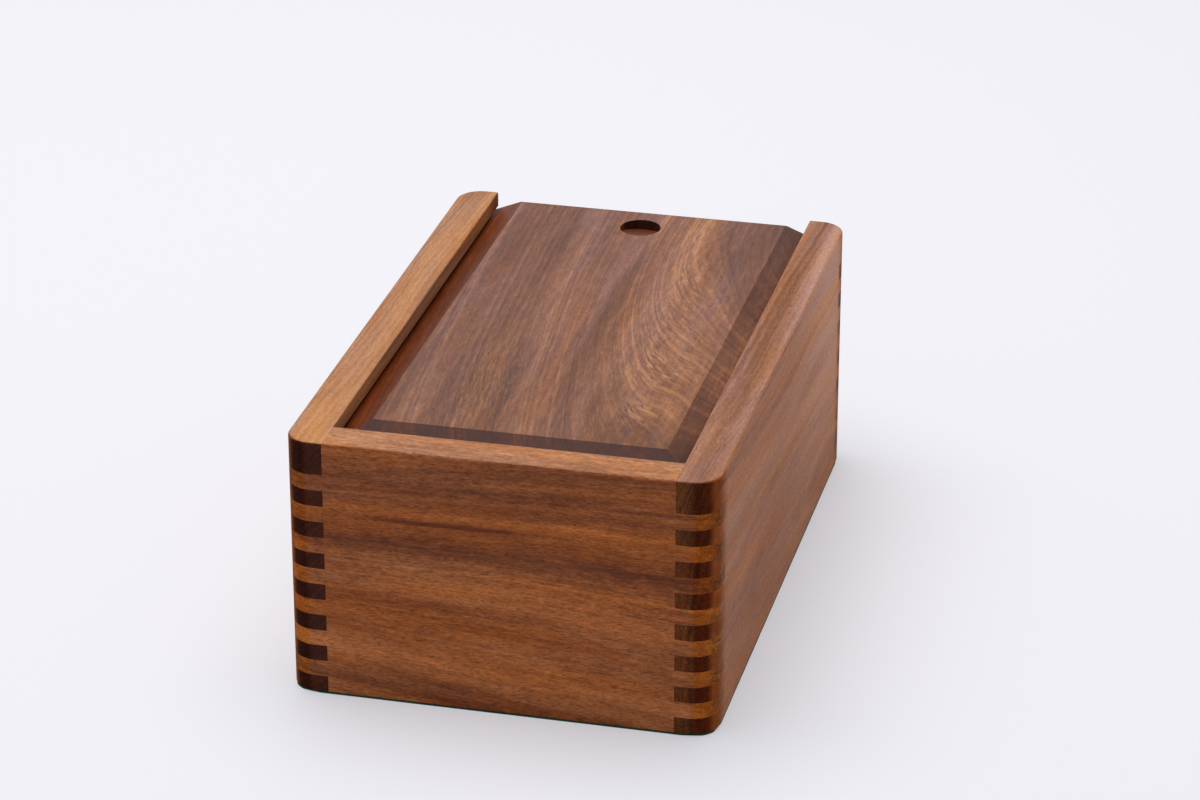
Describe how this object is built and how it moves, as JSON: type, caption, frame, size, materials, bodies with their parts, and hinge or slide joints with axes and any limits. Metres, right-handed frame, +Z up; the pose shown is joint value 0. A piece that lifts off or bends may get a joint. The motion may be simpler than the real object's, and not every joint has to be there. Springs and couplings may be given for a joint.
{
  "type": "sliding-lid chess box",
  "caption": "Wooden chess-piece box with finger-jointed rounded corners, a bevelled lid that slides out over a low rear wall, a divider and green felt on the floor and base.",
  "frame": {"origin": "middle of the underside of the box, on the surface it stands on", "axes": "+Z up, +Y towards the low rear wall that the lid slides out over, +X across the side walls"},
  "size_m": [0.16, 0.248, 0.1018],
  "materials": {
    "end_wall_wood": "satin, warm brown hardwood with the grain across the box",
    "side_wall_wood": "satin, warm brown hardwood with the grain from front to rear",
    "lid_wood": "satin, brown hardwood with the grain from front to rear",
    "panel_wood": "plain plywood",
    "divider_wood": "satin hardwood",
    "felt": "dark green felt"
  },
  "bodies": {
    "box": {"front_wall": "end_wall_wood", "rear_wall": "end_wall_wood", "left_wall": "side_wall_wood", "right_wall": "side_wall_wood", "bottom_panel": "panel_wood", "base_felt": "felt", "divider": "divider_wood", "front_floor_felt": "felt", "rear_floor_felt": "felt"},
    "lid": {"lid": "lid_wood"}
  },
  "joints": [
    {"name": "lid_slide", "type": "slide", "parent": "box", "child": "lid", "axis": [0, 1, 0], "range_m": [0, 0.225]}
  ]
}
